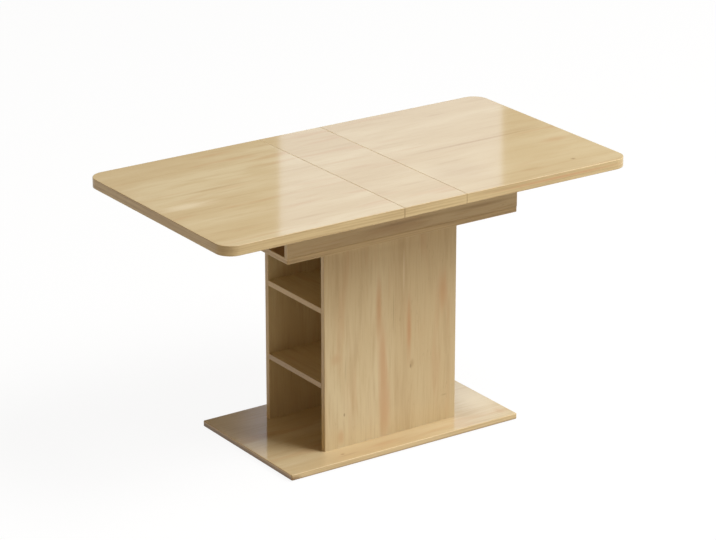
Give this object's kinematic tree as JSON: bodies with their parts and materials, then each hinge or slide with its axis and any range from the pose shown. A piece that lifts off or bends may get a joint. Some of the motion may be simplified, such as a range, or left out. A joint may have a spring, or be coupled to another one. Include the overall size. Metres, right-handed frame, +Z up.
{
  "type": "extending pedestal dining table",
  "caption": "Extending dining table on a panel pedestal with open end shelves and a base plate; the top's halves ride on ball slides and a lift-out leaf fills the gap.",
  "frame": {"origin": "on the floor under the middle of the table", "axes": "+X along the length of the top, -Y to the front, +Z up"},
  "size_m": [1.3, 0.7, 0.755],
  "materials": {
    "oak_board": "satin",
    "oak_edging": "satin",
    "beech": "matte",
    "grey_plastic": "matte",
    "white_plastic": "satin",
    "cast_zinc": "satin",
    "plated_steel": "satin",
    "plated_fastener": "satin"
  },
  "bodies": {
    "frame": {"apron_bottom": "oak_board", "apron_bottom_edging": "oak_edging", "apron_screws": "plated_fastener", "back_panel": "oak_board", "back_panel_edging": "oak_edging", "back_rail": "oak_board", "back_rail_edging": "oak_edging", "base_plate": "oak_board", "base_plate_edging": "oak_edging", "base_screws": "plated_fastener", "centre_divider": "oak_board", "divider_dowels": "beech", "floor_glides": "grey_plastic", "front_panel": "oak_board", "front_panel_edging": "oak_edging", "front_rail": "oak_board", "front_rail_edging": "oak_edging", "left_back_channel": "plated_steel", "left_front_channel": "plated_steel", "left_lower_shelf": "oak_board", "left_lower_shelf_edging": "oak_edging", "left_upper_shelf": "oak_board", "left_upper_shelf_edging": "oak_edging", "rail_screws": "plated_fastener", "right_back_channel": "plated_steel", "right_front_channel": "plated_steel", "right_lower_shelf": "oak_board", "right_lower_shelf_edging": "oak_edging", "right_upper_shelf": "oak_board", "right_upper_shelf_edging": "oak_edging", "shelf_cam_bolts": "plated_fastener", "shelf_cams": "cast_zinc", "shelf_dowels": "beech", "slide_screws": "plated_fastener"},
    "left_half": {"left_angle_screws": "plated_fastener", "left_back_angle": "plated_steel", "left_back_slider": "plated_steel", "left_front_angle": "plated_steel", "left_front_slider": "plated_steel", "left_slider_rivets": "plated_fastener", "left_top": "oak_board", "left_top_edging": "oak_edging"},
    "right_half": {"right_angle_screws": "plated_fastener", "right_back_angle": "plated_steel", "right_back_slider": "plated_steel", "right_front_angle": "plated_steel", "right_front_slider": "plated_steel", "right_slider_rivets": "plated_fastener", "right_top": "oak_board", "right_top_edging": "oak_edging"},
    "leaf": {"leaf": "oak_board", "leaf_edging": "oak_edging", "leaf_studs": "white_plastic"},
    "left_ball_cages": {"left_back_ball_cage": "plated_steel", "left_front_ball_cage": "plated_steel"},
    "right_ball_cages": {"right_back_ball_cage": "plated_steel", "right_front_ball_cage": "plated_steel"}
  },
  "joints": [
    {"name": "left_half_slide", "type": "slide", "parent": "frame", "child": "left_half", "axis": [-1, 0, 0], "range_m": [0, 0.03]},
    {"name": "right_half_slide", "type": "slide", "parent": "frame", "child": "right_half", "axis": [1, 0, 0], "range_m": [0, 0.03]},
    {"name": "leaf_lift", "type": "slide", "parent": "frame", "child": "leaf", "axis": [0, 0, 1], "range_m": [0, 0.15]},
    {"name": "left_cage_slide", "type": "slide", "parent": "frame", "child": "left_ball_cages", "axis": [-1, 0, 0], "range_m": [0, 0.015]},
    {"name": "right_cage_slide", "type": "slide", "parent": "frame", "child": "right_ball_cages", "axis": [1, 0, 0], "range_m": [0, 0.015]}
  ],
  "couplings": [
    {"joint": "left_cage_slide", "follows": "left_half_slide", "ratio": 0.5},
    {"joint": "right_cage_slide", "follows": "right_half_slide", "ratio": 0.5}
  ]
}
